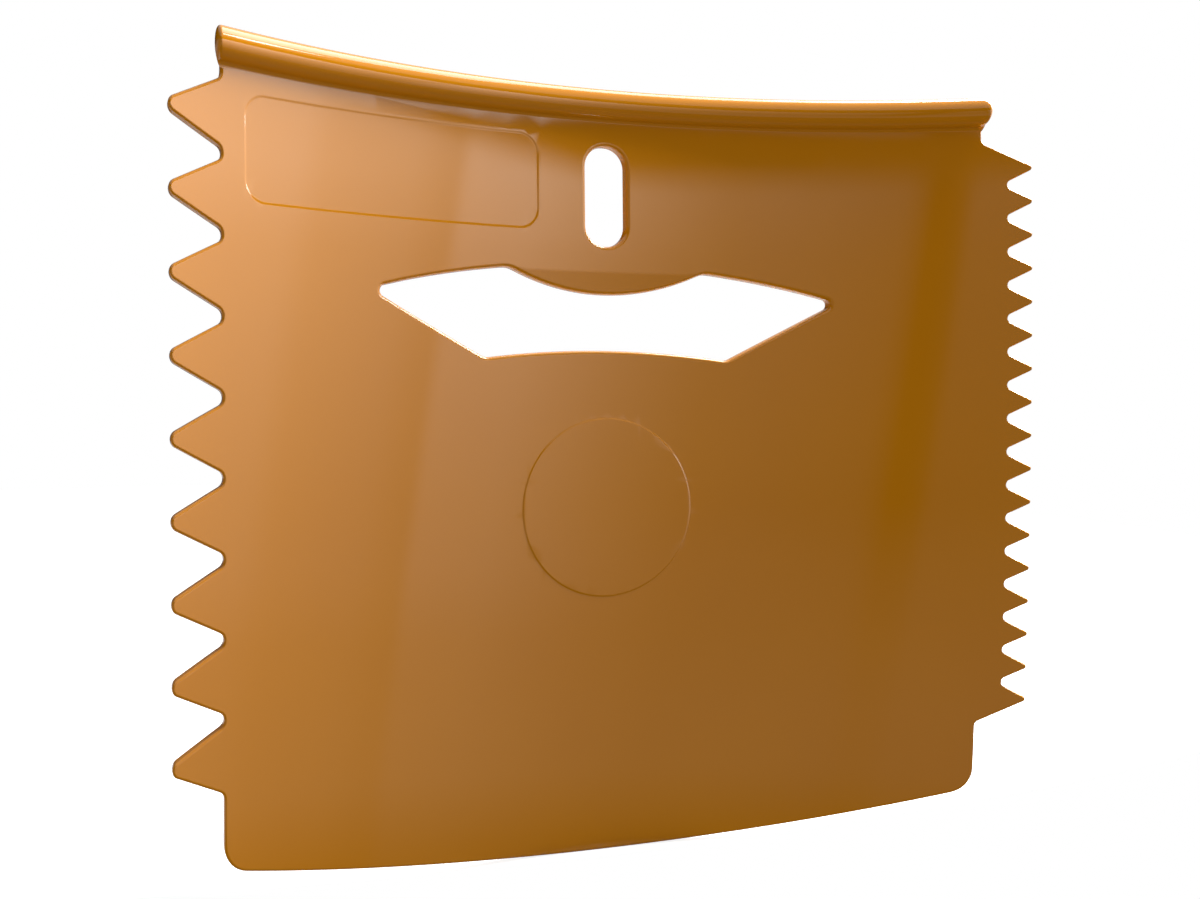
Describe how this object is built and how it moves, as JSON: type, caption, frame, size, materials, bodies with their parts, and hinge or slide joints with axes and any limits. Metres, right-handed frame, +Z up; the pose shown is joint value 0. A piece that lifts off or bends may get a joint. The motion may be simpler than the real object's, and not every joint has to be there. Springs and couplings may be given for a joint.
{
  "type": "cake server",
  "caption": "Bent one-piece plastic plate for lifting and combing cakes: hand hole, hanging slot, thick top rail, coarse comb on one side and fine comb on the other.",
  "frame": {"origin": "centre of the plan and lowest point of the part as it stands upright on its curved bottom edge", "axes": "+X from the coarse comb to the fine comb, +Y out of the bulging back face, +Z up to the thick rail; the hollow face looks along -Y"},
  "size_m": [0.1236, 0.0204, 0.1122],
  "materials": {
    "caramel_plastic": "glossy caramel-brown moulded plastic, smooth on both faces"
  },
  "bodies": {
    "root": {"server_plate": "caramel_plastic"}
  },
  "joints": []
}
